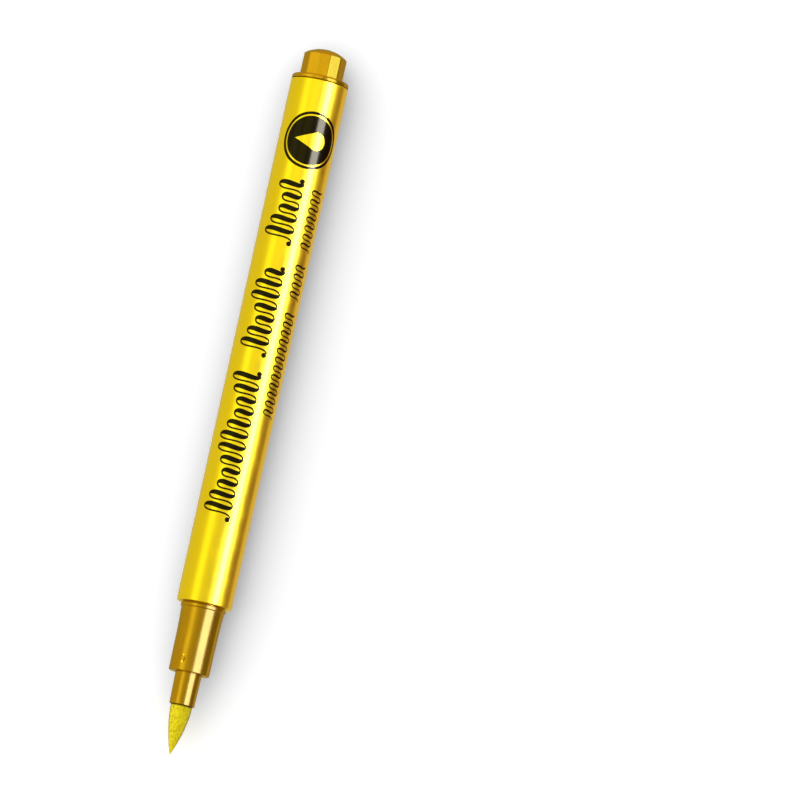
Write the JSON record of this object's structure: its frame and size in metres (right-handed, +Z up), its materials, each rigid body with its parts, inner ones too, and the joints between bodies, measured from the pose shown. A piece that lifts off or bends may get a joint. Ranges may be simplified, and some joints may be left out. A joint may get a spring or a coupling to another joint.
{
  "type": "calligraphy brush marker",
  "caption": "Uncapped metallic-ink brush marker: straight gold barrel, faceted tail plug, stepped grip, soft pointed brush, and a press-to-open ink valve inside.",
  "frame": {"origin": "on the pen's axis at the barrel's front shoulder, where a cap stops", "axes": "+X along the pen's axis towards the tail, the brush points to -X; +Z is up, with the pen lying on a desk; the printed side faces +Z"},
  "size_m": [0.1408, 0.011, 0.011],
  "materials": {
    "gold_lacquer": "bright gold metallic lacquer",
    "gold_plastic": "satin gold pearl plastic",
    "brush_felt": "felt soaked in glittering gold ink",
    "core_fibre": "bonded fibre rod, ink stained",
    "buffer_felt": "open felt, ink stained",
    "valve_plastic": "natural white acetal",
    "gasket_rubber": "matt black rubber",
    "spring_steel": "drawn stainless wire",
    "ball_steel": "polished steel",
    "print_ink": "black screen print"
  },
  "bodies": {
    "pen": {"barrel": "gold_lacquer", "tail_plug": "gold_plastic", "grip_section": "gold_plastic", "nib_collar": "gold_plastic", "ink_buffer": "buffer_felt", "valve_body": "valve_plastic", "valve_gasket": "gasket_rubber", "valve_retainer": "valve_plastic", "valve_spring": "spring_steel"},
    "plunger": {"nib_core": "core_fibre", "valve_stem": "valve_plastic"},
    "brush": {"brush_tip": "brush_felt"},
    "ball": {"mixing_ball": "ball_steel"}
  },
  "joints": [
    {"name": "brush_press", "type": "slide", "parent": "pen", "child": "plunger", "axis": [1, 0, 0], "range_m": [0, 0.002], "stiffness_N_per_m": 300, "springref_m": -0.002, "deforming": ["valve_spring"]},
    {"name": "brush_flex", "type": "hinge", "parent": "plunger", "child": "brush", "pos_m": [-0.0223, 0, 0], "axis": [0, 0, 1], "range_deg": [-30, 30], "stiffness_Nm_per_rad": 0.004, "deforming": ["brush_tip"]},
    {"name": "ball_roll", "type": "slide", "parent": "pen", "child": "ball", "axis": [1, 0, 0], "range_m": [0, 0.068]}
  ]
}
